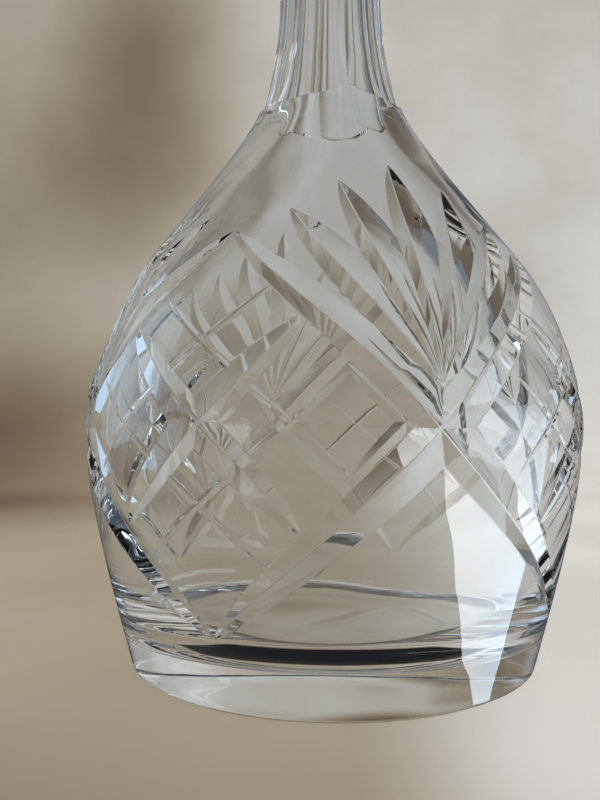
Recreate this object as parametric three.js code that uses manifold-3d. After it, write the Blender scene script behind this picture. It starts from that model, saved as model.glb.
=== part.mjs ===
// A wine decanter: a blown and wheel-cut glass bottle with a thick flat base, and its ground glass stopper.
//
// Millimetres, +Z up. The origin is the centre of the base, where the bottle stands, and Z is the axis of
// both pieces. Azimuth 0 is -Y, the middle of one cut fan, and it grows towards +X. The cut pattern
// repeats four times round the body.

import * as THREE from 'three';
import { mergeVertices } from 'three/addons/utils/BufferGeometryUtils.js';
import Module from 'manifold-3d';

const wasm = await Module();
wasm.setup();

// ---- driving dimensions --------------------------------------------------------------------------

const LATHE_SEGMENTS = 48;

// Outside of the bottle, as [height, radius], from the edge of the ground foot up to the flared lip.
const OUTER = [
  [0.8, 51.0], [13, 54.3], [29, 58.3], [45, 61.4], [60.5, 62.5], [76.5, 59.2], [92.5, 52.2], [108.5, 40.7],
  [124, 29.2], [136.5, 21.1], [146.5, 17.0], [158, 14.7], [172, 13.7], [190, 13.9], [208, 15.6],
  [222, 18.6], [230, 21.4],
];
const FOOT_FLAT_RADIUS = 50;
const FOOT_EDGE = [50.75, 0.25];

// Inside of the bottle, as [height, radius], up to the foot of the ground socket.
const INNER = [
  [13, 45.9], [20, 50.4], [29, 53.2], [45, 56.6], [60.5, 57.7], [76.5, 54.3], [92.5, 47.1], [108.5, 35.4],
  [124, 23.8], [136.5, 15.9], [146.5, 12.2], [158, 10.4], [172, 9.6], [199, 9.6],
];

// Below CORNER_TOP the inner wall rolls into the flat floor. The bend leaves the wall along its slope, and
// runs out on the floor's level from CORNER_REACH in to FLOOR_RADIUS.
const CORNER_TOP = 20;
const CORNER_DROP = 7.8;
const CORNER_REACH = 41.5;
const FLOOR_RADIUS = 33;
const FLOOR_HEIGHT = 8.4;

// Where the shoulder ends and the neck begins, on both walls.
const SHOULDER_TOP = 136.5;
const NECK_OUTER_ENDS = [143, 228];
const NECK_INNER_ENDS = [146.5, 172];

// The ground socket in the neck tapers 1 in 10 on diameter, and the lip closes over it.
const SOCKET_BOTTOM = 199;
const SOCKET_BOTTOM_RADIUS = 9.6;
const SOCKET_TOP = 231;
const SOCKET_TOP_RADIUS = 11.2;
const LIP_TOP = 234;
const LIP = [[22.3, 232], [21.6, 233.5], [20, LIP_TOP], [13.5, LIP_TOP], [12.2, 233.2]];

// The mitre cuts. A wheel with a V edge leaves two flat facets that meet in a valley.
const REPEATS = 4;
const MITRE_SLOPE = 0.36;
const CROSSING = { azimuth: 0, height: 57.5 };
const BAND_TIP_AZIMUTH = 44.6;
const BAND_TOP = 99;
const BAND_BOTTOM = 16;
const BAND_HALF_WIDTH = 5.5;
const BAND_TAPER = { power: 1.5, bluntness: 0.55 };
const DIAMOND = { azimuth: 45, height: 58.5 };
const LEAF_REACH = { azimuth: 19.5, height: 20.5 };
const LEAF_HALF_WIDTH = 4.3;
const LEAF_TAPER = { power: 2, bluntness: 0.6 };
const FAN_ROOT = { azimuth: 0, height: 66 };
const FAN_TIPS = [[-31, 104], [-17.5, 111.4], [1.5, 116.8], [20.5, 111.4], [33, 104]];
const FAN_HALF_WIDTH = 5.5;
const FAN_TAPER = { power: 2, bluntness: 0.8 };
const CUT_STEPS = 6;
const CUTTER_RISE = 2.6;
const TIP_LIFT = 0.12;

// The neck flutes: shallow hollows side by side. FLUTE_ENDS are the heights of the ridges' lower ends, cut
// by eye, so that no two flutes end alike. Below RUNOUT_HEIGHT the wheel bites deeper, and leaves a ledge.
const FLUTE_ENDS = [139, 142, 139.5, 141, 140, 141.5, 139.5, 141, 140.5, 139.5, 140.5, 139.5];
const FLUTES = FLUTE_ENDS.length;
const FLUTE_AZIMUTH = -21;
const FLUTE_DEPTH = 0.85;
const FLUTE_RIDGE_DEPTH = 0.1;
const FLUTE_SCALLOP = 0.8;
const FLUTE_TOP = 221;
const RUNOUT_HEIGHT = 149;
const RUNOUT_DEPTH = 0.75;

// The stopper: a tapered ground shank, a slim waist and a head ground to flat facets.
const GROUND_GAP = 0.3;
const SHANK_BOTTOM = 200.5;
const SHANK_TOP = 230.5;
const SHANK_EDGE = 1.2;
const SHANK_SEGMENTS = 40;
const WAIST_RADIUS = 8.4;
const WAIST_ENDS = [236.5, 238.5];
const WAIST_FLARE = [9.8, 241.5];
const HEAD_CENTRE = 259;
const HEAD_RADIUS = 18.5;
const HEAD_HALF_HEIGHT = 22;
const TABLE_HEIGHT = 20.5;
const FACETS_AROUND = 10;
const FACET_ROWS = [-44, -9, 26, 58];

// ---- curves and surfaces -------------------------------------------------------------------------

const radians = THREE.MathUtils.degToRad;

// A smooth curve through [height, radius] knots: cubic Hermite pieces with Catmull-Rom slopes.
function smoothThrough(knots) {
  const slopes = knots.map((knot, i) => {
    const before = knots[Math.max(i - 1, 0)];
    const after = knots[Math.min(i + 1, knots.length - 1)];
    return (after[1] - before[1]) / (after[0] - before[0]);
  });
  return (height) => {
    const last = knots.length - 2;
    const found = knots.findIndex((knot) => knot[0] > height) - 1;
    const i = found < 0 ? (height < knots[0][0] ? 0 : last) : found;
    const span = knots[i + 1][0] - knots[i][0];
    const t = (height - knots[i][0]) / span;
    const rise = knots[i + 1][1] - knots[i][1];
    const bend = slopes[i] * span - rise;
    const bendAfter = rise - slopes[i + 1] * span;
    return knots[i][1] + t * rise + t * (1 - t) * ((1 - t) * bend + t * bendAfter);
  };
}

const outerRadius = smoothThrough(OUTER);
const innerRadius = smoothThrough(INNER);

function around(azimuth, radius, height) {
  const angle = radians(azimuth);
  return new THREE.Vector3(radius * Math.sin(angle), -radius * Math.cos(angle), height);
}

function surfacePoint({ azimuth, height }) {
  return around(azimuth, outerRadius(height), height);
}

function slopeAt(radiusAt, height) {
  const step = 0.5;
  return (radiusAt(height + step) - radiusAt(height - step)) / (2 * step);
}

function surfaceNormal({ azimuth, height }) {
  return around(azimuth, 1, -slopeAt(outerRadius, height)).normalize();
}

// Heights between two ends, evenly spaced, with both ends included.
function spread(from, to, steps) {
  return Array.from({ length: steps + 1 }, (_, i) => from + ((to - from) * i) / steps);
}

// ---- solids ----------------------------------------------------------------------------------------

function toSolid(geometry) {
  const bare = geometry.clone();
  bare.deleteAttribute('normal');
  bare.deleteAttribute('uv');
  const merged = mergeVertices(bare, 1e-4);
  const corners = Array.from(merged.index.array);
  const position = merged.attributes.position;
  const triangles = [];
  for (let i = 0; i < corners.length; i += 3) {
    const [a, b, c] = corners.slice(i, i + 3);
    if (a !== b && b !== c && c !== a) triangles.push(a, b, c);
  }
  const mesh = new wasm.Mesh({
    numProp: 3,
    vertProperties: new Float32Array(position.array),
    triVerts: new Uint32Array(triangles),
  });
  return new wasm.Manifold(mesh);
}

function toGeometry(solid) {
  const mesh = solid.getMesh();
  const geometry = new THREE.BufferGeometry();
  geometry.setAttribute('position', new THREE.BufferAttribute(new Float32Array(mesh.vertProperties), 3));
  geometry.setIndex(new THREE.BufferAttribute(new Uint32Array(mesh.triVerts), 1));
  geometry.computeVertexNormals();
  return geometry;
}

// A solid of revolution about Z from [radius, height] points that start and end on the axis.
function turned(points, segments = LATHE_SEGMENTS) {
  const outline = points.map(([radius, height]) => new THREE.Vector2(radius, height));
  const geometry = new THREE.LatheGeometry(outline, segments);
  geometry.rotateX(Math.PI / 2);
  return toSolid(geometry);
}

// A solid through matching closed loops of points: capped at both ends, or joined into a ring.
function loft(loops, ring = false) {
  const size = loops[0].length;
  const indices = [];
  const joints = ring ? loops.length : loops.length - 1;
  for (let i = 0; i < joints; i += 1) {
    const next = (i + 1) % loops.length;
    for (let j = 0; j < size; j += 1) {
      const k = (j + 1) % size;
      const [a, b, c, d] = [i * size + j, i * size + k, next * size + k, next * size + j];
      indices.push(a, b, c, a, c, d);
    }
  }
  if (!ring) {
    const end = (loops.length - 1) * size;
    for (let j = 1; j < size - 1; j += 1) {
      indices.push(0, j + 1, j, end, end + j, end + j + 1);
    }
  }
  const geometry = new THREE.BufferGeometry().setFromPoints(loops.flat());
  geometry.setIndex(indices);
  return toSolid(geometry);
}

// ---- cuts --------------------------------------------------------------------------------------------

// Where a straight line between two points of the body, seen from the axis, falls on its surface.
function surfaceLine(from, to, share) {
  const point = surfacePoint(from).lerp(surfacePoint(to), share);
  const azimuth = THREE.MathUtils.radToDeg(Math.atan2(point.x, -point.y));
  return { azimuth, height: point.z };
}

// One mitre cut through places on the body: as wide as asked in the middle, pointed at both ends. A higher
// power keeps it wide for longer, and a lower bluntness makes its points blunter.
function mitreCut(places, halfWidth, { power, bluntness }) {
  const points = places.map(surfacePoint);
  const loops = places.map((place, i) => {
    const u = (2 * i) / (places.length - 1) - 1;
    const width = halfWidth * (1 - Math.abs(u) ** power) ** bluntness;
    const along = points[Math.min(i + 1, points.length - 1)].clone().sub(points[Math.max(i - 1, 0)]);
    const normal = surfaceNormal(place);
    const side = along.cross(normal).normalize();
    const depth = MITRE_SLOPE * width - TIP_LIFT;
    const reach = (depth + CUTTER_RISE) / MITRE_SLOPE;
    const valley = points[i].clone().addScaledVector(normal, -depth);
    const wings = points[i].clone().addScaledVector(normal, CUTTER_RISE);
    return [
      valley,
      wings.clone().addScaledVector(side, -reach),
      wings.clone().addScaledVector(side, reach),
    ];
  });
  return loft(loops);
}

function bandCut(direction) {
  const top = { azimuth: -BAND_TIP_AZIMUTH * direction, height: BAND_TOP };
  const bottom = { azimuth: BAND_TIP_AZIMUTH * direction, height: BAND_BOTTOM };
  const upper = spread(0, 1, CUT_STEPS).map((share) => surfaceLine(top, CROSSING, share));
  const lower = spread(0, 1, CUT_STEPS).map((share) => surfaceLine(CROSSING, bottom, share));
  return mitreCut([...upper, ...lower.slice(1)], BAND_HALF_WIDTH, BAND_TAPER);
}

function leafCut(direction) {
  const corner = (sign) => ({
    azimuth: DIAMOND.azimuth + sign * direction * LEAF_REACH.azimuth,
    height: DIAMOND.height + sign * LEAF_REACH.height,
  });
  const places = spread(0, 1, CUT_STEPS).map((share) => surfaceLine(corner(-1), corner(1), share));
  return mitreCut(places, LEAF_HALF_WIDTH, LEAF_TAPER);
}

function fanCut([azimuth, height]) {
  const tip = { azimuth, height };
  const places = spread(0, 1, CUT_STEPS).map((share) => surfaceLine(FAN_ROOT, tip, share));
  return mitreCut(places, FAN_HALF_WIDTH, FAN_TAPER);
}

// The hollow flutes as one collar of waste glass, which is taken off the neck in one piece.
function fluteCollar() {
  const perFlute = 5;
  const clearance = 6;
  const columns = FLUTES * perFlute;
  const loops = Array.from({ length: columns }, (_, i) => {
    const azimuth = FLUTE_AZIMUTH + (360 * (i - perFlute / 2)) / columns;
    const flute = Math.floor(i / perFlute);
    const across = (i % perFlute) / perFlute;
    const hollow = Math.sin(Math.PI * across);
    const ridgeEnd = THREE.MathUtils.lerp(FLUTE_ENDS[flute], FLUTE_ENDS[(flute + 1) % FLUTES], across);
    const bottom = ridgeEnd - FLUTE_SCALLOP * hollow;
    const heights = [...spread(bottom, RUNOUT_HEIGHT, 2), ...spread(RUNOUT_HEIGHT, FLUTE_TOP, 9).slice(1)];
    const onFlute = (height) => {
      const runout = Math.max((RUNOUT_HEIGHT - height) / (RUNOUT_HEIGHT - bottom), 0);
      const depth = THREE.MathUtils.lerp(FLUTE_RIDGE_DEPTH, FLUTE_DEPTH, hollow) + RUNOUT_DEPTH * runout;
      return around(azimuth, outerRadius(height) - depth, height);
    };
    const outside = (height) => around(azimuth, outerRadius(height) + clearance, height);
    return [...heights.map(onFlute), ...heights.toReversed().map(outside)];
  });
  return loft(loops, true);
}

// ---- the bottle --------------------------------------------------------------------------------------

// The bend of the inner wall into the floor, as [radius, height], from the wall in to the floor.
function floorCorner() {
  const wall = new THREE.Vector2(innerRadius(CORNER_TOP), CORNER_TOP);
  const alongWall = new THREE.Vector2(slopeAt(innerRadius, CORNER_TOP), 1).multiplyScalar(CORNER_DROP);
  const bend = new THREE.CubicBezierCurve(
    wall,
    wall.clone().sub(alongWall),
    new THREE.Vector2(CORNER_REACH, FLOOR_HEIGHT),
    new THREE.Vector2(FLOOR_RADIUS, FLOOR_HEIGHT),
  );
  return bend.getPoints(6).map((point) => point.toArray());
}

function bottleBlank() {
  const base = [[0, 0], [FOOT_FLAT_RADIUS, 0], FOOT_EDGE];
  const outside = [
    ...spread(OUTER[0][0], SHOULDER_TOP, 12),
    ...spread(...NECK_OUTER_ENDS, 8),
  ].map((height) => [outerRadius(height), height]);
  const socket = [[SOCKET_TOP_RADIUS, SOCKET_TOP], [SOCKET_BOTTOM_RADIUS, SOCKET_BOTTOM]];
  const inside = [
    ...spread(...NECK_INNER_ENDS, 2).toReversed(),
    ...spread(CORNER_TOP, SHOULDER_TOP, 9).toReversed(),
  ].map((height) => [innerRadius(height), height]);
  const floorMiddle = [0, FLOOR_HEIGHT];
  return turned([...base, ...outside, ...LIP, ...socket, ...inside, ...floorCorner().slice(1), floorMiddle]);
}

function bottle() {
  const pattern = [
    ...[-1, 1].map(bandCut),
    ...[-1, 1].map(leafCut),
    ...FAN_TIPS.map(fanCut),
  ];
  let glass = bottleBlank().subtract(fluteCollar());
  for (let repeat = 0; repeat < REPEATS; repeat += 1) {
    for (const cut of pattern) {
      glass = glass.subtract(cut.rotate([0, 0, (360 * repeat) / REPEATS]));
    }
  }
  return glass;
}

// ---- the stopper -------------------------------------------------------------------------------------

function shank() {
  const taper = (SOCKET_TOP_RADIUS - SOCKET_BOTTOM_RADIUS) / (SOCKET_TOP - SOCKET_BOTTOM);
  const groundRadius = (height) =>
    SOCKET_BOTTOM_RADIUS - GROUND_GAP + taper * (height - SOCKET_BOTTOM);
  const [waistBottom, waistTop] = WAIST_ENDS;
  const [flareRadius, flareHeight] = WAIST_FLARE;
  return turned([
    [0, SHANK_BOTTOM],
    [groundRadius(SHANK_BOTTOM) - SHANK_EDGE, SHANK_BOTTOM],
    [groundRadius(SHANK_BOTTOM + SHANK_EDGE), SHANK_BOTTOM + SHANK_EDGE],
    [groundRadius(SHANK_TOP), SHANK_TOP],
    [groundRadius(SHANK_TOP) - SHANK_EDGE / 2, SHANK_TOP + SHANK_EDGE],
    [WAIST_RADIUS + SHANK_EDGE / 2, SHANK_TOP + 3 * SHANK_EDGE],
    [WAIST_RADIUS, waistBottom],
    [WAIST_RADIUS, waistTop],
    [flareRadius, flareHeight],
    [0, flareHeight],
  ], SHANK_SEGMENTS);
}

// A block whose lower face is the flat that a facet leaves on an egg-shaped head.
function facetWaste(azimuth, elevation) {
  const normal = around(azimuth, Math.cos(radians(elevation)), Math.sin(radians(elevation)));
  const distance = Math.hypot(
    HEAD_RADIUS * Math.cos(radians(elevation)),
    HEAD_HALF_HEIGHT * Math.sin(radians(elevation)),
  );
  const size = 4 * HEAD_HALF_HEIGHT;
  const block = new THREE.BoxGeometry(size, size, size);
  block.translate(0, 0, size / 2 + distance);
  const turn = new THREE.Quaternion().setFromUnitVectors(new THREE.Vector3(0, 0, 1), normal);
  block.applyQuaternion(turn);
  block.translate(0, 0, HEAD_CENTRE);
  return toSolid(block);
}

function facetedHead() {
  const blankRadius = 1.5 * HEAD_RADIUS;
  const blank = new THREE.CylinderGeometry(blankRadius, blankRadius, 2 * HEAD_HALF_HEIGHT, LATHE_SEGMENTS);
  blank.rotateX(Math.PI / 2);
  blank.translate(0, 0, HEAD_CENTRE);
  let head = toSolid(blank);
  FACET_ROWS.forEach((elevation, row) => {
    const stagger = (row % 2) / 2;
    for (let facet = 0; facet < FACETS_AROUND; facet += 1) {
      head = head.subtract(facetWaste((360 * (facet + stagger)) / FACETS_AROUND, elevation));
    }
  });
  const aboveTable = new THREE.BoxGeometry(4 * HEAD_RADIUS, 4 * HEAD_RADIUS, HEAD_HALF_HEIGHT);
  aboveTable.translate(0, 0, HEAD_CENTRE + TABLE_HEIGHT + HEAD_HALF_HEIGHT / 2);
  return head.subtract(toSolid(aboveTable));
}

function stopper() {
  return shank().add(facetedHead());
}

// ---- assembly ----------------------------------------------------------------------------------------

function glassMesh(name, solid, colour, roughness) {
  const material = new THREE.MeshStandardMaterial({ color: colour, roughness, metalness: 0 });
  const mesh = new THREE.Mesh(toGeometry(solid), material);
  mesh.name = name;
  return mesh;
}

const decanter = new THREE.Group();
decanter.add(glassMesh('bottle', bottle(), 0xe6ebe9, 0.04));
decanter.add(glassMesh('stopper', stopper(), 0xe9eeec, 0.06));

export default decanter;
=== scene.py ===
"""A cut glass wine decanter and its ground stopper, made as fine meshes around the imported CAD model.

Lengths below are in millimetres, angles in degrees, and meshes are written in metres, +Z up. Azimuth 0 is -Y,
the middle of one cut fan, and grows towards +X. The cut pattern repeats four times round the body.
"""

import math

import bmesh
import bpy
import numpy as np
from mathutils import Matrix, Vector


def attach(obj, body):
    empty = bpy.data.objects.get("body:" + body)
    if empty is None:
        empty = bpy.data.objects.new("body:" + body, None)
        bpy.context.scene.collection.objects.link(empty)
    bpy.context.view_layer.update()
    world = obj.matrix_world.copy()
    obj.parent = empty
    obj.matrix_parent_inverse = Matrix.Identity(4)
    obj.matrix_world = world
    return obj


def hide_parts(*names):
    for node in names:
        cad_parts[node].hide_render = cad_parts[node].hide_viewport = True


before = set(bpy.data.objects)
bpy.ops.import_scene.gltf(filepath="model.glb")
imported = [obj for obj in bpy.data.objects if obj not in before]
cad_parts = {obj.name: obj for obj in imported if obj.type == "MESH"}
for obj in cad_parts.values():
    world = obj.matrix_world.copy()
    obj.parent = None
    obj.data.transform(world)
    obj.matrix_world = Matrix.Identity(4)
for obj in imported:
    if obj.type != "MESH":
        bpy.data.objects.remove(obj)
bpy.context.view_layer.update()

MM = 0.001
LATHE_SEGMENTS = 144

# ---- the bottle's dimensions ---------------------------------------------------------------------------

# Outside, as (height, radius), from just above the rounded foot up to the flared lip.
OUTER_KNOTS = [
    (0.8, 51.0), (13, 54.3), (29, 58.3), (45, 61.4), (60.5, 62.5), (76.5, 59.2), (92.5, 52.2), (108.5, 40.7),
    (124, 29.2), (136.5, 21.1), (146.5, 17.0), (158, 14.7), (172, 13.7), (190, 13.9), (208, 15.6),
    (222, 18.6), (230, 21.4),
]
OUTER_TOP = 230
OUTER_RINGS = 130

# Inside, as (height, radius), from the rounded corner of the floor up to the ground socket.
INNER_KNOTS = [
    (13, 45.9), (20, 50.4), (29, 53.2), (45, 56.6), (60.5, 57.7), (76.5, 54.3), (92.5, 47.1), (108.5, 35.4),
    (124, 23.8), (136.5, 15.9), (146.5, 12.2), (158, 10.4), (172, 9.6), (199, 9.6),
]
INNER_RINGS = 90
FLOOR_HEIGHT = 8.4
FLOOR_RINGS = (33, 24, 12, 0)
SOCKET_BOTTOM, SOCKET_BOTTOM_RADIUS = 199, 9.6
SOCKET_TOP, SOCKET_TOP_RADIUS = 231, 11.2
LIP_TOP = 234

# Rounded parts of the outline: where each starts or ends, its two middle control points as (radius, height),
# and its number of steps.
FOOT_FLAT_RADIUS, FOOT_TOP = 50.0, 0.8
FOOT_EDGE, FOOT_STEPS = [(50.6, 0), (50.85, 0.3)], 6
LIP_CREST_RADIUS = 19.5
LIP_EDGE, LIP_STEPS = [(22.9, 232.6), (22.4, LIP_TOP)], 12
MOUTH_CREST_RADIUS = 14.5
MOUTH_EDGE, MOUTH_STEPS = [(12.6, LIP_TOP), (11.6, 233)], 8

# The inner wall leaves its outline at the corner's top and curves into the floor. The drop and the reach set
# its control points: how far it runs on down the wall's slope, and how far out it runs on along the floor.
CORNER_TOP, CORNER_DROP, CORNER_REACH, CORNER_STEPS = 20, 7.8, 41.5, 24

# Waves on the inner wall, as (size, turns round the axis, length up the wall, phase), and where they fade.
RIPPLES = [(0.16, 3, 9.0, 0.4), (0.12, -5, 13.0, 2.1), (0.07, 11, -7.0, 4.0), (0.05, -8, 5.0, 1.2)]
RIPPLE_FADE_LOW, RIPPLE_TOP, RIPPLE_FADE_HIGH = 12, 150, 30
INNER_TOLERANCE = 1

# Mitre cuts: two flat facets that meet in a valley. Places on the body are (azimuth, height). A taper is the
# power and the bluntness of the curve by which a cut narrows to its ends.
REPEATS = 4
MITRE_SLOPE = 0.36
CROSSING = (0, 57.5)
BAND_TIP_AZIMUTH, BAND_TOP, BAND_BOTTOM = 44.6, 99, 16
BAND_HALF_WIDTH, BAND_TAPER, BAND_STEPS = 5.5, (1.5, 0.55), 48
DIAMOND = (45, 58.5)
LEAF_REACH = (19.5, 20.5)
LEAF_HALF_WIDTH, LEAF_TAPER, LEAF_STEPS = 4.3, (2, 0.6), 28
HATCH_HALF_WIDTH, HATCH_TAPER, HATCH_STEPS = 0.9, (6, 0.8), 24
HATCH_ENDS = [((-14, 28), (28.6, -10.2)), ((-28.6, 10.2), (14, -28))]
FAN_ROOT = (0, 66)
FAN_TIPS = [(-31, 104), (-17.5, 111.4), (1.5, 116.8), (20.5, 111.4), (33, 104)]
FAN_HALF_WIDTH, FAN_TAPER, FAN_STEPS = 5.5, (2, 0.8), 28

# A cutter's flat top stands clear of the glass and is a little wider than the cut. Its ends are lifted clear.
CUTTER_RISE, CUTTER_OVERHANG = 2.6, 0.5
TIP_LIFT = 0.05

# Polishing leaves the valley and the edges of a cut a little round. The edge's corners are (slope, offset):
# the share of the facet's slope on the way there, and how far past the facet's end, in shares of the round.
VALLEY_ROUND, VALLEY_CORNERS = 0.25, (0, 1 / 3, 2 / 3, 1)
EDGE_ROUND, EDGE_CORNERS = 0.15, ((2 / 3, -1 / 3), (1 / 3, 1 / 3), (1 / 3, 2.2))

# The half width that a cut keeps at its tips, and the rounds in which its edges are fitted to the surface.
LEAST_REACH = 0.02
FIT_ROUNDS = 8

# Neck flutes: hollow panels side by side, cut deeper towards a small ledge where each ends on the shoulder.
FLUTE_AZIMUTH = -21
FLUTE_DEPTH, FLUTE_RIDGE_DEPTH = 0.85, 0.1
FLUTE_ENDS = [139, 142, 139.5, 141, 140, 141.5, 139.5, 141, 140.5, 139.5, 140.5, 139.5]
FLUTES = len(FLUTE_ENDS)
FLUTE_SCALLOP, FLUTE_TOP = 0.8, 221
RUNOUT_HEIGHT, RUNOUT_DEPTH = 149, 0.75

# ---- the stopper's dimensions --------------------------------------------------------------------------

GROUND_GAP = 0.3
SHANK_BOTTOM, SHANK_TOP = 200.5, 230.5
SHANK_SEGMENTS = 96
SHANK_EDGE, SHANK_EDGE_ROUND, SHANK_EDGE_STEPS = 1.2, 0.5, 6

# The waist narrows above the shank and flares into the head. The rises are those of its two middle control
# points above the shank's top, and the flare's points are (outward, upward) from the waist.
WAIST_RADIUS, WAIST_HEIGHT = 8.4, 238.5
WAIST_RISES, WAIST_DROP, WAIST_STEPS = (2.6, 2.4), 2, 12
FLARE, FLARE_STEPS = [(0, 0), (0.8, 1.5), (1.8, 3)], 8

HEAD_CENTRE, HEAD_RADIUS, HEAD_HALF_HEIGHT = 259, 18.5, 22
TABLE_HEIGHT = 20.5
FACETS_AROUND = 10
FACET_ROWS = [-44, -9, 26, 58]
FACET_EDGE = 0.18

# ---- finishes, as material slots of the two glass meshes -----------------------------------------------

OUTSIDE, INSIDE, CUT, GROUND, FOOT = range(5)
GLASS_COLOUR, GLASS_IOR = (0.925, 0.945, 0.96, 1), 1.545
SMEAR_STRETCH, SMEAR_SCALE, SMEAR_RANGE = (1, 1, 0.4), 45, (0.5, 0.75)

# Meshes are shaded sharp where their faces meet at more than these angles.
BOTTLE_CRISP_ANGLE, STOPPER_CRISP_ANGLE = 9, 20

# ---- camera, in millimetres from the foot's centre and in degrees --------------------------------------

CAMERA_AZIMUTH = -20
CAMERA_DISTANCE, CAMERA_HEIGHT = 201.3, 57.85
CAMERA_PAN, CAMERA_TILT = 2.33, 2.04
LENS, SENSOR = 34.2, 36

# ---- stage, in metres: (right, forward, up) from the foot's centre, as the camera sees them ------------

# Painted soft shades on the plaster: middle, reach and strength.
SHADES = [
    ((-0.28, 0.90, 0.60), (0.24, 0.40, 0.36), 0.68),
    ((-0.70, 0.90, 0.40), (0.52, 0.60, 0.75), 0.60),
    ((-0.32, 0.90, 0.41), (0.28, 0.40, 0.20), 0.42),
    ((-0.42, 0.60, 0.06), (0.36, 0.40, 0.26), 0.68),
    ((-0.28, 0.36, 0.00), (0.22, 0.24, 0.12), 0.62),
    ((-0.09, 0.80, 0.17), (0.19, 0.32, 0.15), 0.78),
    ((-0.08, -0.15, 0.00), (0.20, 0.12, 0.10), 0.55),
    ((0.80, 0.80, 0.30), (0.40, 0.60, 0.60), 0.25),
]

# A painted shadow under the foot's rim, as a dark ring on the floor: its radius, its width, the share of it
# that is fully dark, and where it tapers out sideways.
PAINTED_SHADOW_RING, PAINTED_SHADOW_WIDTH, PAINTED_SHADOW_CORE, PAINTED_SHADOW_ENDS = 0.0437, 0.0068, 0.8, (0.024, 0.038)

# Painted light and shade: the lit part lies to the right of a line that leans over to the right as it goes
# up.
LIT_FROM, LIT_LEAN, LIT_EDGE, LIT_NEAREST = 0.20, 0.5, (0.02, 0.30), 0.1
DIM_RISE, DIM, LIT = (0, 0.45), (0.33, 0.57), 0.64

# Painted shade dims the wall towards its top, from little at the left to most at the right.
TOP_RISE, TOP_ACROSS, TOP_LIGHT = (0.60, 0.98), (0.1, 0.5), (0.8, 0.18)

# Plaster's mottle, and its colour from painted dark to painted full light. It is a little warmer on the
# floor.
MOTTLE_SCALE, MOTTLE_DETAIL, MOTTLE_RANGE, MOTTLE_LIGHT = 7, 5, (0.2, 0.8), (0.88, 1.08)
PLASTER = [
    (0.0, (0.004, 0.004, 0.005, 1)),
    (0.15, (0.185, 0.138, 0.092, 1)),
    (0.33, (0.37, 0.325, 0.245, 1)),
    (0.47, (0.495, 0.47, 0.415, 1)),
    (0.60, (0.61, 0.60, 0.575, 1)),
    (0.8, (0.81, 0.795, 0.76, 1)),
]
FLOOR_TO_WALL = [(0.0, (1.0, 0.975, 0.95, 1)), (0.25, (1.0, 1.0, 1.0, 1))]
# The plaster's painted glow, by height: stronger on the floor than up the wall.
GLOW_RISE, GLOW = (0, 0.4), (0.83, 0.66)

# The cove: its near end, where its bend starts, the bend's radius, its top and half its width.
COVE_NEAR, COVE_BEND_START, COVE_BEND, COVE_TOP, COVE_HALF_WIDTH = -3.0, 0.45, 0.45, 2.2, 2.6
COVE_BEND_STEPS = 24
AIR_GAP = 0.0002

# ---- lights --------------------------------------------------------------------------------------------

# Windows: distance in metres, outline as (azimuth, elevation) from the decanter, colours from left to right,
# and strengths from bottom to top.
WHITE, SKY_BLUE = (1.0, 1.0, 1.0, 1), (0.42, 0.55, 0.68, 1)
WINDOWS = {
    "window": (1.2, [(46, -8), (51, -20), (63, -31), (76, -37), (104, -37), (104, 10), (46, 10)],
               (WHITE, SKY_BLUE), (8.5, 2.5)),
    "far_window": (1.3, [(-115, -2), (-80, -2), (-80, 35), (-115, 35)], (SKY_BLUE, SKY_BLUE), (1.6, 1.6)),
}
WINDOW_FADE = (0.3, 1)

# The room's own pale light, darker from a little above the horizon down.
ROOM = [(0.0, (0.045, 0.048, 0.055, 1)), (0.25, (0.165, 0.185, 0.215, 1))]


# ---- materials -----------------------------------------------------------------------------------------

class Nodes:
    """Short calls that add and join nodes in one material or world."""

    def __init__(self, owner, shader="Principled BSDF"):
        owner.use_nodes = True
        self.tree = owner.node_tree
        self.shader = self.tree.nodes[shader]

    def add(self, kind, inputs=None, **settings):
        made = self.tree.nodes.new(kind)
        for name, value in settings.items():
            setattr(made, name, value)
        for name, value in (inputs or {}).items():
            if isinstance(value, bpy.types.NodeSocket):
                self.tree.links.new(value, made.inputs[name])
            else:
                made.inputs[name].default_value = value
        return made

    def place(self, kind="Object"):
        return self.add("ShaderNodeTexCoord").outputs[kind]

    def noise(self, place, scale, detail=2.0):
        return self.add("ShaderNodeTexNoise", {"Vector": place, "Scale": scale, "Detail": detail}).outputs[0]

    def ramp(self, value, low, high, start, end):
        limits = {"Value": value, "From Min": low, "From Max": high, "To Min": start, "To Max": end}
        return self.add("ShaderNodeMapRange", limits, interpolation_type="SMOOTHSTEP").outputs["Result"]

    def math(self, operation, a, b=0.0):
        return self.add("ShaderNodeMath", {0: a, 1: b}, operation=operation).outputs[0]

    def vector(self, operation, a, b=(0, 0, 0)):
        made = self.add("ShaderNodeVectorMath", {0: a, 1: b}, operation=operation)
        return made.outputs["Value" if operation == "LENGTH" else "Vector"]

    def axes(self, place):
        return self.add("ShaderNodeSeparateXYZ", {0: place}).outputs

    def colours(self, value, stops):
        """Colour over value, through (value, colour) stops in order."""
        made = self.add("ShaderNodeValToRGB", {0: value})
        elements = made.color_ramp.elements
        elements[0].position, elements[0].color = stops[0]
        elements[1].position, elements[1].color = stops[-1]
        for position, colour in stops[1:-1]:
            elements.new(position).color = colour
        return made.outputs[0]

    def set(self, **values):
        for name, value in values.items():
            socket = self.shader.inputs[name.replace("_", " ")]
            if isinstance(value, bpy.types.NodeSocket):
                self.tree.links.new(value, socket)
            else:
                socket.default_value = value


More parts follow.
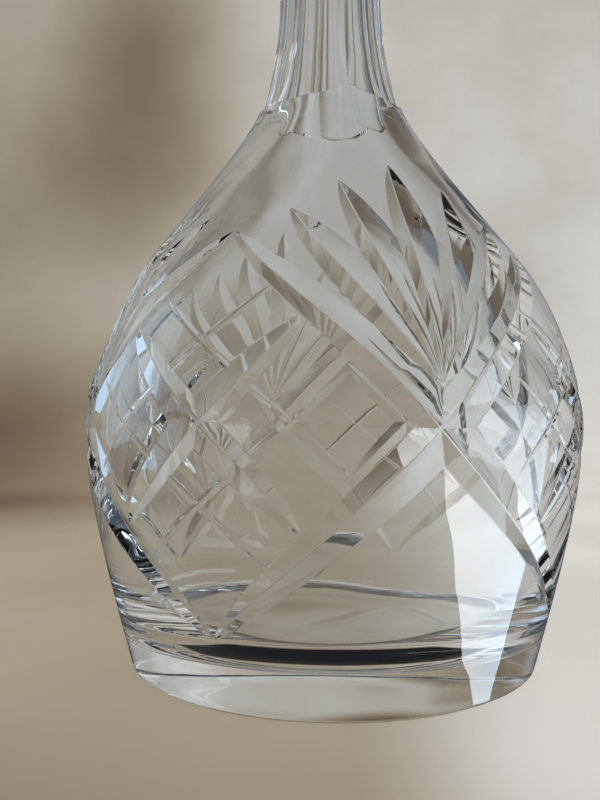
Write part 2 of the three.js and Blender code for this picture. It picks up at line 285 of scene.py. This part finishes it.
def glass_material(name, roughness, smear, wave_size, wave_height, grain=None):
    """Lead crystal, its polish a little uneven: waves in its surface, and smears that dull it in places."""
    material = bpy.data.materials.new(name)
    nodes = Nodes(material)
    place = nodes.place()
    smears = nodes.noise(nodes.vector("MULTIPLY", place, SMEAR_STRETCH), SMEAR_SCALE, 4)
    nodes.set(Roughness=nodes.ramp(smears, *SMEAR_RANGE, roughness, roughness + smear))
    bump = nodes.add("ShaderNodeBump", {
        "Height": nodes.noise(place, 1 / wave_size), "Distance": wave_height, "Strength": 1})
    if grain:
        bump = nodes.add("ShaderNodeBump", {
            "Height": nodes.noise(place, 1 / grain[0], 3), "Distance": grain[1], "Normal": bump.outputs[0]})
    nodes.set(Normal=bump.outputs[0])
    nodes.set(Base_Color=GLASS_COLOUR, IOR=GLASS_IOR, Transmission_Weight=1)
    return material


# In the order of the finishes OUTSIDE, INSIDE, CUT, GROUND and FOOT.
GLASS = [
    glass_material("polished_outside", 0.0, 0.03, 0.02, 0.00006),
    glass_material("blown_inside", 0.0, 0.04, 0.012, 0.00005),
    glass_material("cut_facets", 0.0, 0.02, 0.006, 0.00001),
    glass_material("ground_frost", 0.3, 0.15, 0.004, 0.00002, grain=(0.0004, 0.00004)),
    glass_material("polished_foot", 0.0, 0.06, 0.01, 0.00001),
]


def stage_material():
    """Pale plaster with painted light and shade: it glows a little, as a lit sweep does, dim and warm at the
    left and lit at the right, with painted soft shades and a painted shadow ring under the foot's rim.
    """
    material = bpy.data.materials.new("pale_plaster")
    nodes = Nodes(material)
    place = nodes.place()
    seen = nodes.add("ShaderNodeVectorRotate", {"Vector": place, "Angle": -math.radians(CAMERA_AZIMUTH)},
                     rotation_type="Z_AXIS").outputs[0]
    across, forward, up = nodes.axes(seen)

    # Painted light and shade: lit to the right of a leaning line, dim to its left.
    lean = nodes.math("SUBTRACT", across, nodes.math("MULTIPLY", up, LIT_LEAN))
    away = nodes.math("ABSOLUTE", nodes.math("ADD", forward, LIT_FROM))
    lean = nodes.math("DIVIDE", lean, nodes.math("MAXIMUM", away, LIT_NEAREST))
    light = nodes.ramp(lean, *LIT_EDGE, nodes.ramp(up, *DIM_RISE, *DIM), LIT)

    # Painted shade towards the wall's top, strongest at the right.
    top = nodes.ramp(up, *TOP_RISE, 1, nodes.ramp(across, *TOP_ACROSS, *TOP_LIGHT))
    light = nodes.math("MULTIPLY", light, top)
    # Painted soft shades darken the plaster in places.
    for middle, reach, strength in SHADES:
        offset = nodes.vector("DIVIDE", nodes.vector("SUBTRACT", seen, middle), reach)
        distance = nodes.vector("LENGTH", offset)
        light = nodes.math("MULTIPLY", light, nodes.ramp(distance, 0, 1, 1 - strength, 1))
    mottle = nodes.noise(place, MOTTLE_SCALE, MOTTLE_DETAIL)
    light = nodes.math("MULTIPLY", light, nodes.ramp(mottle, *MOTTLE_RANGE, *MOTTLE_LIGHT))

    # Painted shadow: a dark ring on the floor under the foot's rim, tapering out to the sides.
    from_axis = nodes.vector("LENGTH", nodes.vector("MULTIPLY", seen, (1, 1, 0)))
    from_shadow_ring = nodes.math("ABSOLUTE", nodes.math("SUBTRACT", from_axis, PAINTED_SHADOW_RING))
    past_end = nodes.ramp(nodes.math("ABSOLUTE", across), *PAINTED_SHADOW_ENDS, 0, PAINTED_SHADOW_WIDTH)
    from_shadow_ring = nodes.math("ADD", from_shadow_ring, past_end)
    beside_shadow_ring = nodes.ramp(from_shadow_ring, PAINTED_SHADOW_CORE * PAINTED_SHADOW_WIDTH, PAINTED_SHADOW_WIDTH, 0, 1)
    light = nodes.math("MULTIPLY", light, beside_shadow_ring)

    # Painted light and shade become the plaster's colour, and the plaster glows with it, though it is no
    # lamp.
    colour = nodes.vector("MULTIPLY", nodes.colours(light, PLASTER), nodes.colours(up, FLOOR_TO_WALL))
    nodes.set(Base_Color=colour, Emission_Color=colour)
    nodes.set(Emission_Strength=nodes.ramp(up, *GLOW_RISE, *GLOW))
    nodes.set(Roughness=0.9, Specular_IOR_Level=0.1)
    return material


# ---- curves and the body's surface ---------------------------------------------------------------------

class Outline:
    """Radius over height, through (height, radius) knots: cubic pieces with Catmull-Rom slopes."""

    def __init__(self, knots):
        self.height, self.knot_radius = np.array(knots, float).T
        before = np.maximum(np.arange(len(knots)) - 1, 0)
        after = np.minimum(np.arange(len(knots)) + 1, len(knots) - 1)
        rise = self.knot_radius[after] - self.knot_radius[before]
        self.slopes = rise / (self.height[after] - self.height[before])

    def radius(self, height):
        piece = np.searchsorted(self.height, height, side="right") - 1
        piece = np.clip(piece, 0, len(self.height) - 2)
        span = self.height[piece + 1] - self.height[piece]
        t = (height - self.height[piece]) / span
        rise = self.knot_radius[piece + 1] - self.knot_radius[piece]
        bend = self.slopes[piece] * span - rise
        bend_after = rise - self.slopes[piece + 1] * span
        return self.knot_radius[piece] + t * rise + t * (1 - t) * ((1 - t) * bend + t * bend_after)

    def slope(self, height, step=0.2):
        return (self.radius(height + step) - self.radius(height - step)) / (2 * step)


OUTER = Outline(OUTER_KNOTS)
INNER = Outline(INNER_KNOTS)


def ripple(azimuth, height):
    """How far the blown inner wall strays from true, in soft waves that fade out at floor and neck."""
    angle = np.radians(azimuth)
    waves = 0
    for size, turns, length, phase in RIPPLES:
        waves = waves + size * np.sin(turns * angle + height / length + phase)
    fade_in = np.clip((height - CORNER_TOP) / RIPPLE_FADE_LOW, 0, 1)
    fade = fade_in * np.clip((RIPPLE_TOP - height) / RIPPLE_FADE_HIGH, 0, 1)
    return waves * fade * fade * (3 - 2 * fade)


def around(azimuth, radius, height):
    """Points at azimuths in degrees, radii and heights."""
    angle = np.radians(azimuth)
    return np.stack(np.broadcast_arrays(radius * np.sin(angle), -radius * np.cos(angle), height), -1)


def on_surface(places):
    places = np.asarray(places, float)
    return around(places[..., 0], OUTER.radius(places[..., 1]), places[..., 1])


def unit(vectors):
    return vectors / np.linalg.norm(vectors, axis=-1, keepdims=True)


def surface_normals(places):
    return unit(around(places[..., 0], 1.0, -OUTER.slope(places[..., 1])))


def chord(start, end, shares):
    """Places where a straight line between two places of the body, seen from its axis, falls on it."""
    a, b = on_surface(start), on_surface(end)
    points = a + (b - a) * np.asarray(shares)[:, None]
    return np.stack([np.degrees(np.arctan2(points[:, 0], -points[:, 1])), points[:, 2]], -1)


def bezier(points, steps):
    """Points along a cubic curve with four control points, both ends included."""
    p0, p1, p2, p3 = np.asarray(points, float)
    t = np.linspace(0, 1, steps + 1)[:, None]
    return (1 - t) ** 3 * p0 + 3 * t * (1 - t) ** 2 * p1 + 3 * t * t * (1 - t) * p2 + t ** 3 * p3


# ---- meshes --------------------------------------------------------------------------------------------

def new_object(name, points, faces, finishes=0, materials=None):
    """An object from points in millimetres, with one finish for all faces or one for each."""
    mesh = bpy.data.meshes.new(name)
    mesh.from_pydata((np.asarray(points) * MM).tolist(), [], faces)
    for material in materials or GLASS:
        mesh.materials.append(material)
    mesh.polygons.foreach_set("material_index", np.broadcast_to(finishes, len(faces)).astype(np.int32))
    mesh.validate()
    obj = bpy.data.objects.new(name, mesh)
    bpy.context.scene.collection.objects.link(obj)
    return obj


def turned(name, sections, segments=LATHE_SEGMENTS):
    """A solid of revolution from (finish, [(radius, height), ...]) sections, from axis to axis."""
    outline, finishes = [], []
    for finish, points in sections:
        for point in points:
            if outline and np.allclose(outline[-1], point, atol=1e-6):
                continue
            if outline:
                finishes.append(finish)
            outline.append(tuple(point))
    rings = outline[1:-1]
    azimuths = np.arange(segments) * 360 / segments
    points = [around(0, 0, outline[0][1])[None]]
    points += [around(azimuths, radius, height) for radius, height in rings]
    points += [around(0, 0, outline[-1][1])[None]]
    faces, face_finish = [], []
    last = 1 + len(rings) * segments
    for j in range(segments):
        k = (j + 1) % segments
        faces.append((0, 1 + k, 1 + j))
        face_finish.append(finishes[0])
        for i in range(len(rings) - 1):
            low, high = 1 + i * segments, 1 + (i + 1) * segments
            faces.append((low + j, low + k, high + k, high + j))
            face_finish.append(finishes[i + 1])
        faces.append((last, last - segments + j, last - segments + k))
        face_finish.append(finishes[-1])
    return new_object(name, np.concatenate(points), faces, face_finish)


def loft(name, loops, finish, ring=False):
    """A closed solid through matching loops of points: capped at both ends, or joined into a ring."""
    count, size = len(loops), len(loops[0])
    faces = []
    for i in range(count if ring else count - 1):
        n = (i + 1) % count
        for j in range(size):
            k = (j + 1) % size
            faces.append((i * size + j, i * size + k, n * size + k, n * size + j))
    if not ring:
        faces.append(tuple(reversed(range(size))))
        faces.append(tuple((count - 1) * size + j for j in range(size)))
    return new_object(name, np.concatenate(loops), faces, finish)


def boolean(obj, operation, tools):
    """Cuts or joins other solids to obj, one by one, and removes them."""
    for tool in tools:
        modifier = obj.modifiers.new(tool.name, "BOOLEAN")
        modifier.operation = operation
        modifier.solver = "MANIFOLD"
        modifier.object = tool
    graph = bpy.context.evaluated_depsgraph_get()
    mesh = bpy.data.meshes.new_from_object(obj.evaluated_get(graph))
    obj.modifiers.clear()
    obj.data = mesh
    for tool in tools:
        bpy.data.objects.remove(tool)
    return obj


def read(collection, field, kind=np.int32, columns=1):
    """One field of all of a mesh's points, corners or faces, as an array."""
    values = np.empty(len(collection) * columns, kind)
    collection.foreach_get(field, values)
    return values.reshape(-1, columns) if columns > 1 else values


# ---- wheel cuts ----------------------------------------------------------------------------------------

def blank_radius(azimuth, height):
    """Radius of the blank's outside with its facets, which the edges of the cuts have to meet exactly."""
    rings = np.linspace(FOOT_TOP, OUTER_TOP, OUTER_RINGS + 1)
    facet = 360 / LATHE_SEGMENTS
    flat = math.cos(math.radians(facet / 2)) / np.cos(np.radians(azimuth % facet - facet / 2))
    return np.interp(height, rings, OUTER.radius(rings)) * flat


def surface_rise(points, normals, across):
    """Height of the blank along each normal, at offsets across it from points on the true surface."""
    rise = np.zeros(len(points))
    for _ in range(FIT_ROUNDS):
        at = points + across + normals * rise[:, None]
        azimuth = np.degrees(np.arctan2(at[:, 0], -at[:, 1]))
        rise += blank_radius(azimuth, at[:, 2]) - np.hypot(at[:, 0], at[:, 1])
    return rise


def mitre_half(points, normals, side, depth):
    """One side of a mitre cut's section at each point, from the valley out, as (across, rise) columns."""
    reach = np.maximum(depth, 0) / MITRE_SLOPE
    for _ in range(FIT_ROUNDS):
        reach = (depth + surface_rise(points, normals, side * reach[:, None])) / MITRE_SLOPE
        reach = np.maximum(reach, LEAST_REACH)
    valley, edge = np.minimum(VALLEY_ROUND, reach / 2), np.minimum(EDGE_ROUND, reach / 3)
    outer, inner = (surface_rise(points, normals, side * (reach + step)[:, None]) for step in (edge, -edge))
    fall = (outer - inner) / (2 * edge)
    section = []
    for share in VALLEY_CORNERS:
        section.append((valley * share, MITRE_SLOPE * valley * (1 + share ** 2) / 2 - depth))
    section.append((reach - edge, MITRE_SLOPE * (reach - edge) - depth))
    for share, offset in EDGE_CORNERS:
        across, rise = section[-1]
        slope = share * MITRE_SLOPE + (1 - share) * fall
        section.append((reach + offset * edge, rise + slope * (reach + offset * edge - across)))
    section.append((section[-1][0] + CUTTER_OVERHANG, np.full(len(points), CUTTER_RISE)))
    return section


def mitre_cut(name, places, u, half_width, taper):
    """The waste of one mitre cut: widest in its middle, pointed at both ends, where u is -1 and 1."""
    points, normals = on_surface(places), surface_normals(places)
    power, bluntness = taper
    width = half_width * (1 - np.abs(u) ** power) ** bluntness
    side = unit(np.cross(np.gradient(points, axis=0), normals))
    depth = MITRE_SLOPE * width - TIP_LIFT
    left, right = (mitre_half(points, normals, sign * side, depth) for sign in (-1, 1))
    section = [(-across, rise) for across, rise in left] + right[:0:-1]
    loops = [points + side * across[:, None] + normals * rise[:, None] for across, rise in section]
    return loft(name, list(np.stack(loops, 1)), CUT)


def eased(steps):
    """Shares from 0 to 1 that crowd towards both ends, where a cut narrows."""
    return 0.5 - 0.5 * np.cos(np.linspace(0, math.pi, steps + 1))


def turn(places, azimuth):
    return np.asarray(places) + (azimuth, 0)


def band_cuts(azimuth):
    """Two bands that cross in the middle of a fan's foot, each straight on both sides of the crossing."""
    shares = eased(BAND_STEPS)
    middle = BAND_STEPS // 2
    cuts = []
    for direction in (-1, 1):
        top = (-BAND_TIP_AZIMUTH * direction, BAND_TOP)
        bottom = (BAND_TIP_AZIMUTH * direction, BAND_BOTTOM)
        upper = chord(top, CROSSING, 2 * shares[:middle + 1])
        lower = chord(CROSSING, bottom, 2 * shares[middle:] - 1)
        places = turn(np.concatenate([upper, lower[1:]]), azimuth)
        cuts.append(mitre_cut("band", places, 2 * shares - 1, BAND_HALF_WIDTH, BAND_TAPER))
    return cuts


def straight_cut(name, start, end, azimuth, half_width, taper, steps):
    shares = eased(steps)
    places = turn(chord(start, end, shares), azimuth)
    return mitre_cut(name, places, 2 * shares - 1, half_width, taper)


def diamond_cuts(azimuth):
    """Two crossed leaves and the fine hatch lines beside them."""
    cuts = []
    middle = np.array(DIAMOND, float)
    for direction in (-1, 1):
        flip = np.array([direction, 1])
        reach = np.array(LEAF_REACH) * flip
        shape = (LEAF_HALF_WIDTH, LEAF_TAPER, LEAF_STEPS)
        cuts.append(straight_cut("leaf", middle - reach, middle + reach, azimuth, *shape))
        for ends in HATCH_ENDS:
            start, end = (middle + np.array(place) * flip for place in ends)
            shape = (HATCH_HALF_WIDTH, HATCH_TAPER, HATCH_STEPS)
            cuts.append(straight_cut("hatch", start, end, azimuth, *shape))
    return cuts


def fan_cuts(azimuth):
    shape = (FAN_HALF_WIDTH, FAN_TAPER, FAN_STEPS)
    return [straight_cut("fan", FAN_ROOT, tip, azimuth, *shape) for tip in FAN_TIPS]


def flute_collar():
    """The hollow flutes as one collar of waste glass, taken off the neck in one piece."""
    per_flute, rows, clearance = 12, 44, 6
    columns = FLUTES * per_flute
    loops = []
    for i in range(columns):
        azimuth = FLUTE_AZIMUTH + 360 * (i - per_flute / 2) / columns
        across = i % per_flute / per_flute
        hollow = math.sin(math.pi * across)
        left_end, right_end = FLUTE_ENDS[i // per_flute], FLUTE_ENDS[(i // per_flute + 1) % FLUTES]
        bottom = left_end + (right_end - left_end) * across - FLUTE_SCALLOP * hollow
        heights = np.linspace(bottom, FLUTE_TOP, rows)
        runout = np.clip((RUNOUT_HEIGHT - heights) / (RUNOUT_HEIGHT - bottom), 0, 1)
        depth = FLUTE_RIDGE_DEPTH + (FLUTE_DEPTH - FLUTE_RIDGE_DEPTH) * hollow + RUNOUT_DEPTH * runout
        inner = around(azimuth, OUTER.radius(heights) - depth, heights)
        outer = around(azimuth, OUTER.radius(heights) + clearance, heights)
        loops.append(np.concatenate([inner, outer[::-1]]))
    return loft("flutes", loops, CUT, ring=True)


# ---- the bottle ----------------------------------------------------------------------------------------

def outline_points(outline, start, end, steps):
    heights = np.linspace(start, end, steps + 1)
    return list(zip(outline.radius(heights), heights))


def bottle_blank():
    edge = bezier([(FOOT_FLAT_RADIUS, 0), *FOOT_EDGE, (OUTER.radius(FOOT_TOP), FOOT_TOP)], FOOT_STEPS)
    lip = bezier([(OUTER.radius(OUTER_TOP), OUTER_TOP), *LIP_EDGE, (LIP_CREST_RADIUS, LIP_TOP)], LIP_STEPS)
    mouth = bezier([(MOUTH_CREST_RADIUS, LIP_TOP), *MOUTH_EDGE, (SOCKET_TOP_RADIUS, SOCKET_TOP)], MOUTH_STEPS)
    floor = [(radius, FLOOR_HEIGHT) for radius in FLOOR_RINGS]
    wall = (INNER.radius(CORNER_TOP), CORNER_TOP)
    below = (wall[0] - CORNER_DROP * INNER.slope(CORNER_TOP), CORNER_TOP - CORNER_DROP)
    corner = bezier([wall, below, (CORNER_REACH, FLOOR_HEIGHT), floor[0]], CORNER_STEPS)
    blank = turned("bottle_glass", [
        (FOOT, [(0, 0), (FOOT_FLAT_RADIUS / 2, 0), (FOOT_FLAT_RADIUS, 0)]),
        (FOOT, edge),
        (OUTSIDE, outline_points(OUTER, FOOT_TOP, OUTER_TOP, OUTER_RINGS)),
        (FOOT, lip),
        (FOOT, mouth),
        (GROUND, [(SOCKET_TOP_RADIUS, SOCKET_TOP), (SOCKET_BOTTOM_RADIUS, SOCKET_BOTTOM)]),
        (INSIDE, outline_points(INNER, SOCKET_BOTTOM, CORNER_TOP, INNER_RINGS)),
        (INSIDE, corner),
        (INSIDE, floor),
    ])
    add_ripples(blank.data)
    return blank


def add_ripples(mesh):
    """Moves the inner wall's points in or out by the ripple."""
    points = read(mesh.vertices, "co", np.float32, 3) / MM
    radius = np.hypot(points[:, 0], points[:, 1])
    inner = (points[:, 2] > CORNER_TOP) & (radius < INNER.radius(points[:, 2]) + INNER_TOLERANCE)
    azimuth = np.degrees(np.arctan2(points[inner, 0], -points[inner, 1]))
    grown = (radius[inner] + ripple(azimuth, points[inner, 2])) / radius[inner]
    points[inner, 0] *= grown
    points[inner, 1] *= grown
    mesh.vertices.foreach_set("co", (points * MM).ravel())


def wall_normals(points, outline, waves, step=0.2):
    """Outward normals of a blown wall at points on it, from its outline and the waves on it."""
    azimuth, height = np.degrees(np.arctan2(points[:, 0], -points[:, 1])), points[:, 2]
    out = unit(points * (1, 1, 0))
    around_axis = np.stack([-out[:, 1], out[:, 0], 0 * height], -1)
    climb = outline.slope(height)
    turning = 0 * height
    if waves:
        climb = climb + (waves(azimuth, height + step) - waves(azimuth, height - step)) / (2 * step)
        turning = (waves(azimuth + step, height) - waves(azimuth - step, height)) / (2 * math.radians(step))
    normals = out - around_axis * (turning / outline.radius(height))[:, None]
    normals[:, 2] = -climb
    return unit(normals)


def smooth_but_crisp(mesh):
    """Smooth shading that stays sharp at cut edges, with exact normals on the blown surfaces."""
    mesh.shade_smooth()
    mesh.set_sharp_from_angle(angle=math.radians(BOTTLE_CRISP_ANGLE))
    normals = read(mesh.corner_normals, "vector", np.float32, 3)
    points = read(mesh.vertices, "co", np.float32, 3)[read(mesh.loops, "vertex_index")] / MM
    finishes = np.repeat(read(mesh.polygons, "material_index"), read(mesh.polygons, "loop_total"))
    blown = finishes == OUTSIDE
    normals[blown] = wall_normals(points[blown], OUTER, None)
    blown = (finishes == INSIDE) & (points[:, 2] > CORNER_TOP + 0.01)
    normals[blown] = -wall_normals(points[blown], INNER, ripple)
    mesh.normals_split_custom_set(normals.tolist())


def bottle():
    cuts = [flute_collar()]
    for repeat in range(REPEATS):
        azimuth = 360 * repeat / REPEATS
        cuts += band_cuts(azimuth) + diamond_cuts(azimuth) + fan_cuts(azimuth)
    glass = boolean(bottle_blank(), "DIFFERENCE", cuts)
    smooth_but_crisp(glass.data)
    return glass


# ---- the stopper ---------------------------------------------------------------------------------------

def shank():
    taper = (SOCKET_TOP_RADIUS - SOCKET_BOTTOM_RADIUS) / (SOCKET_TOP - SOCKET_BOTTOM)

    def ground(height):
        return SOCKET_BOTTOM_RADIUS - GROUND_GAP + taper * (height - SOCKET_BOTTOM), height

    (radius, low), top = ground(SHANK_BOTTOM), ground(SHANK_TOP)
    edge_top = ground(SHANK_BOTTOM + SHANK_EDGE)
    low_edge = bezier([(radius - SHANK_EDGE, low), (radius - SHANK_EDGE_ROUND, low),
                       (radius, low + SHANK_EDGE_ROUND), edge_top], SHANK_EDGE_STEPS)
    first_rise, second_rise = WAIST_RISES
    waist_start = (WAIST_RADIUS, WAIST_HEIGHT - WAIST_DROP)
    waist = bezier([top, (top[0], top[1] + first_rise), (WAIST_RADIUS, top[1] + second_rise), waist_start],
                   WAIST_STEPS)
    flare_points = [(WAIST_RADIUS + out, WAIST_HEIGHT + up) for out, up in FLARE]
    flare = bezier([waist_start, *flare_points], FLARE_STEPS)
    return turned("stopper_glass", [
        (FOOT, [(0, SHANK_BOTTOM)]),
        (FOOT, low_edge),
        (GROUND, [edge_top, top]),
        (FOOT, waist),
        (FOOT, flare),
        (FOOT, [(0, flare[-1][1])]),
    ], SHANK_SEGMENTS)


def faceted_head():
    """An egg-shaped head with every face ground flat, its edges softened by polishing."""
    shape = bmesh.new()
    bmesh.ops.create_cube(shape, size=4 * HEAD_HALF_HEIGHT * MM)
    bmesh.ops.translate(shape, verts=shape.verts, vec=(0, 0, HEAD_CENTRE * MM))
    flats = [(0, 90, TABLE_HEIGHT), (0, -90, HEAD_HALF_HEIGHT)]
    for row, elevation in enumerate(FACET_ROWS):
        tilt = math.radians(elevation)
        distance = math.hypot(HEAD_RADIUS * math.cos(tilt), HEAD_HALF_HEIGHT * math.sin(tilt))
        for i in range(FACETS_AROUND):
            flats.append((360 * (i + row % 2 / 2) / FACETS_AROUND, elevation, distance))
    for azimuth, elevation, distance in flats:
        tilt = math.radians(elevation)
        normal = Vector(around(azimuth, math.cos(tilt), math.sin(tilt)))
        place = Vector((0, 0, HEAD_CENTRE * MM)) + normal * distance * MM
        everything = shape.verts[:] + shape.edges[:] + shape.faces[:]
        cut = bmesh.ops.bisect_plane(shape, geom=everything, dist=1e-7, plane_co=place, plane_no=normal,
                                     clear_outer=True)
        rim = [e for e in cut["geom_cut"] if isinstance(e, bmesh.types.BMEdge)]
        if rim:
            bmesh.ops.contextual_create(shape, geom=rim)
    bmesh.ops.bevel(shape, geom=shape.edges[:], offset=FACET_EDGE * MM, segments=2, profile=0.5,
                    affect="EDGES")
    bmesh.ops.recalc_face_normals(shape, faces=shape.faces)
    mesh = bpy.data.meshes.new("head")
    shape.to_mesh(mesh)
    shape.free()
    for material in GLASS:
        mesh.materials.append(material)
    mesh.polygons.foreach_set("material_index", np.full(len(mesh.polygons), CUT, np.int32))
    head = bpy.data.objects.new("head", mesh)
    bpy.context.scene.collection.objects.link(head)
    return head


def stopper():
    glass = boolean(shank(), "UNION", [faceted_head()])
    glass.data.shade_smooth()
    glass.data.set_sharp_from_angle(angle=math.radians(STOPPER_CRISP_ANGLE))
    return glass


# ---- stage, lights and camera --------------------------------------------------------------------------

def heading(azimuth):
    """The level direction that a camera at this azimuth looks in, and the direction to its right."""
    angle = math.radians(azimuth)
    return Vector((-math.sin(angle), math.cos(angle), 0)), Vector((math.cos(angle), math.sin(angle), 0))


def cove():
    """A pale floor that sweeps up into a wall behind the decanter, with no corner."""
    forward, right = heading(CAMERA_AZIMUTH)
    profile = [(COVE_NEAR, 0.0), (COVE_BEND_START, 0.0)]
    for angle in np.linspace(0, math.pi / 2, COVE_BEND_STEPS + 1)[1:]:
        run, rise = math.sin(angle), 1 - math.cos(angle)
        profile.append((COVE_BEND_START + COVE_BEND * run, COVE_BEND * rise))
    profile.append((COVE_BEND_START + COVE_BEND, COVE_TOP))
    points = []
    for y, z in profile:
        for x in (-COVE_HALF_WIDTH, COVE_HALF_WIDTH):
            points.append(forward * y + right * x + Vector((0, 0, z - AIR_GAP)))
    faces = [(2 * i, 2 * i + 1, 2 * i + 3, 2 * i + 2) for i in range(len(profile) - 1)]
    floor = new_object("cove", np.array(points) / MM, faces, materials=[stage_material()])
    floor.data.shade_smooth()
    floor.visible_glossy = False


def window_card(name, distance, outline, colours, strengths):
    """A bright upright card that stands for a window, seen only in and through the glass."""
    azimuths, elevations = np.array(outline, float).T
    facing = (azimuths.min() + azimuths.max()) / 2
    from_middle = np.radians(azimuths - facing)
    points = np.stack([distance * np.tan(from_middle), 0 * from_middle,
                       distance * np.tan(np.radians(elevations)) / np.cos(from_middle)], -1)
    material = bpy.data.materials.new(name)
    nodes = Nodes(material)
    place = nodes.axes(nodes.place("Generated"))
    nodes.set(Base_Color=(0, 0, 0, 1), Specular_IOR_Level=0)
    nodes.set(Emission_Color=nodes.colours(place["X"], list(zip((0.0, 1.0), colours))))
    nodes.set(Emission_Strength=nodes.ramp(place["Z"], *WINDOW_FADE, *strengths))
    card = new_object(name, points / MM, [tuple(range(len(points)))], materials=[material])
    forward, _ = heading(CAMERA_AZIMUTH + facing)
    card.matrix_world = Matrix.Translation(-forward * distance) @ Matrix.Rotation(
        math.radians(CAMERA_AZIMUTH + facing), 4, "Z")
    card.visible_camera = False
    card.visible_diffuse = False


def lights():
    for name, window in WINDOWS.items():
        window_card(name, *window)
    world = bpy.data.worlds.new("room")
    nodes = Nodes(world, "Background")
    nodes.set(Color=nodes.colours(nodes.axes(nodes.place("Generated"))["Z"], ROOM))
    bpy.context.scene.world = world


def camera():
    forward, right = heading(CAMERA_AZIMUTH)
    data = bpy.data.cameras.new("camera")
    data.lens = LENS
    data.sensor_width = SENSOR
    data.clip_start = 0.01
    view = bpy.data.objects.new("camera", data)
    view.location = -forward * CAMERA_DISTANCE * MM + Vector((0, 0, CAMERA_HEIGHT * MM))
    pan, tilt = math.radians(CAMERA_PAN), math.radians(CAMERA_TILT)
    look = (forward * math.cos(pan) - right * math.sin(pan)) * math.cos(tilt) + Vector((0, 0, math.sin(tilt)))
    view.rotation_euler = look.to_track_quat("-Z", "Y").to_euler()
    bpy.context.scene.collection.objects.link(view)
    bpy.context.scene.camera = view


def light_paths():
    """Glass in glass needs many bounces."""
    cycles = bpy.context.scene.cycles
    cycles.max_bounces = 32
    cycles.transmission_bounces = 32
    cycles.glossy_bounces = 16
    cycles.use_denoising = True
    bpy.context.scene.view_settings.view_transform = "Standard"


# ---- assembly ------------------------------------------------------------------------------------------

for piece, node in ((bottle(), "bottle"), (stopper(), "stopper")):
    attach(piece, node)
    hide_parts(node)

cove()
lights()
camera()
light_paths()
